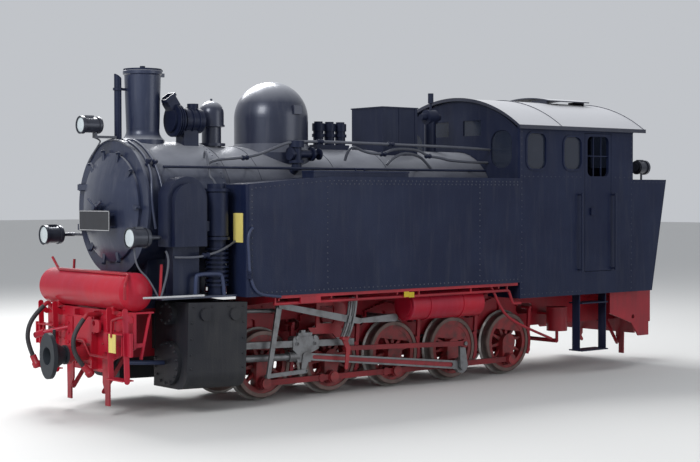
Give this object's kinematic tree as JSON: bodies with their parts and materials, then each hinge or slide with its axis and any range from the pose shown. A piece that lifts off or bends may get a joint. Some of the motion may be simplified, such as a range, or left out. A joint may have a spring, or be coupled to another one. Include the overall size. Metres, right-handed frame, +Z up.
{
  "type": "narrow gauge steam tank locomotive",
  "caption": "Narrow gauge side-tank steam locomotive with coupled driving wheels, open-framed motion, enclosed cab and rear coal bunker.",
  "frame": {"origin": "centre of the length between the two coupler faces, on the centre line, at the bottom of the wheel flanges", "axes": "+X runs backwards along the engine to the bunker, -X is the smokebox end, +Y is the engine's right side, +Z up"},
  "size_m": [8.68, 2.338, 3.5631],
  "materials": {
    "black_paint": "satin black paint with soot and dust",
    "red_paint": "satin red paint",
    "bright_steel": "oiled steel",
    "dark_rubber": "matt",
    "pane_glass": "clear",
    "lamp_metal": "satin"
  },
  "bodies": {
    "engine": {"air_pump": "black_paint", "boiler": "black_paint", "boiler_fittings": "black_paint", "boiler_pipes": "black_paint", "brake_gear": "red_paint", "brake_hose_far": "dark_rubber", "brake_hose_near": "dark_rubber", "brake_pipes": "red_paint", "bunker": "black_paint", "cab_floor": "black_paint", "cab_front": "black_paint", "cab_rear": "black_paint", "cab_roof": "black_paint", "cab_side_left": "black_paint", "cab_side_right": "black_paint", "cab_steps": "red_paint", "chimney": "black_paint", "combination_levers": "bright_steel", "connecting_rods": "bright_steel", "couplers": "red_paint", "crossheads": "bright_steel", "cylinders": "black_paint", "domes": "black_paint", "eccentric_rods": "bright_steel", "exhaust_pipe": "black_paint", "expansion_links": "red_paint", "frame": "red_paint", "front_air_tank": "black_paint", "front_beam": "red_paint", "generator": "black_paint", "handrails": "red_paint", "hose_couplings": "red_paint", "lamps": "lamp_metal", "radius_rods": "bright_steel", "rail_guards": "red_paint", "rear_beam": "red_paint", "return_cranks": "bright_steel", "sand_box": "black_paint", "side_air_tanks": "black_paint", "side_tank_left": "black_paint", "side_tank_right": "black_paint", "slide_bars": "bright_steel", "smokebox": "black_paint", "spring_gear": "red_paint", "window_panes": "pane_glass"},
    "wheelset_1": {"wheelset_1": "red_paint"},
    "wheelset_2": {"wheelset_2": "red_paint"},
    "wheelset_3": {"wheelset_3": "red_paint"},
    "wheelset_4": {"wheelset_4": "red_paint"},
    "wheelset_5": {"wheelset_5": "red_paint"},
    "coupling_rod_left": {"coupling_rod_left": "bright_steel"},
    "coupling_rod_right": {"coupling_rod_right": "bright_steel"},
    "smokebox_door": {"smokebox_door": "black_paint"},
    "chimney_lid": {"chimney_lid": "black_paint"},
    "tank_lid_left": {"tank_lid_left": "black_paint"},
    "tank_lid_right": {"tank_lid_right": "black_paint"},
    "cab_door_left": {"cab_door_left": "black_paint"},
    "cab_door_right": {"cab_door_right": "black_paint"}
  },
  "joints": [
    {"name": "wheel_4_turn", "type": "hinge", "parent": "engine", "child": "wheelset_4", "pos_m": [0.78, 0, 0.395], "axis": [0, 1, 0], "continuous": true},
    {"name": "wheel_1_turn", "type": "hinge", "parent": "engine", "child": "wheelset_1", "pos_m": [-2.01, 0, 0.395], "axis": [0, 1, 0], "continuous": true},
    {"name": "wheel_2_turn", "type": "hinge", "parent": "engine", "child": "wheelset_2", "pos_m": [-1.08, 0, 0.395], "axis": [0, 1, 0], "continuous": true},
    {"name": "wheel_3_turn", "type": "hinge", "parent": "engine", "child": "wheelset_3", "pos_m": [-0.15, 0, 0.395], "axis": [0, 1, 0], "continuous": true},
    {"name": "wheel_5_turn", "type": "hinge", "parent": "engine", "child": "wheelset_5", "pos_m": [1.71, 0, 0.395], "axis": [0, 1, 0], "continuous": true},
    {"name": "rod_left_turn", "type": "hinge", "parent": "wheelset_4", "child": "coupling_rod_left", "pos_m": [0.75217, -0.53, 0.19695], "axis": [0, 1, 0], "continuous": true},
    {"name": "rod_right_turn", "type": "hinge", "parent": "wheelset_4", "child": "coupling_rod_right", "pos_m": [0.97805, 0.53, 0.36717], "axis": [0, 1, 0], "continuous": true},
    {"name": "smokebox_door_swing", "type": "hinge", "parent": "engine", "child": "smokebox_door", "pos_m": [-3.598, 0.625, 2.09], "axis": [0, 0, -1], "range_deg": [0, 90]},
    {"name": "chimney_lid_tilt", "type": "hinge", "parent": "engine", "child": "chimney_lid", "pos_m": [-2.982, 0, 3.5233], "axis": [0, 1, 0], "range_deg": [0, 110]},
    {"name": "tank_lid_left_tilt", "type": "hinge", "parent": "engine", "child": "tank_lid_left", "pos_m": [-1.107, -0.844, 2.4613], "axis": [-1, 0, 0], "range_deg": [0, 100]},
    {"name": "tank_lid_right_tilt", "type": "hinge", "parent": "engine", "child": "tank_lid_right", "pos_m": [-1.107, 0.844, 2.4613], "axis": [1, 0, 0], "range_deg": [0, 100]},
    {"name": "cab_door_left_swing", "type": "hinge", "parent": "engine", "child": "cab_door_left", "pos_m": [2.888, -1.072, 2.1], "axis": [0, 0, -1], "range_deg": [0, 90]},
    {"name": "cab_door_right_swing", "type": "hinge", "parent": "engine", "child": "cab_door_right", "pos_m": [2.888, 1.072, 2.1], "axis": [0, 0, 1], "range_deg": [0, 90]}
  ],
  "couplings": [
    {"joint": "wheel_1_turn", "follows": "wheel_4_turn", "ratio": 1},
    {"joint": "wheel_2_turn", "follows": "wheel_4_turn", "ratio": 1},
    {"joint": "wheel_3_turn", "follows": "wheel_4_turn", "ratio": 1},
    {"joint": "wheel_5_turn", "follows": "wheel_4_turn", "ratio": 1},
    {"joint": "rod_left_turn", "follows": "wheel_4_turn", "ratio": -1},
    {"joint": "rod_right_turn", "follows": "wheel_4_turn", "ratio": -1}
  ]
}
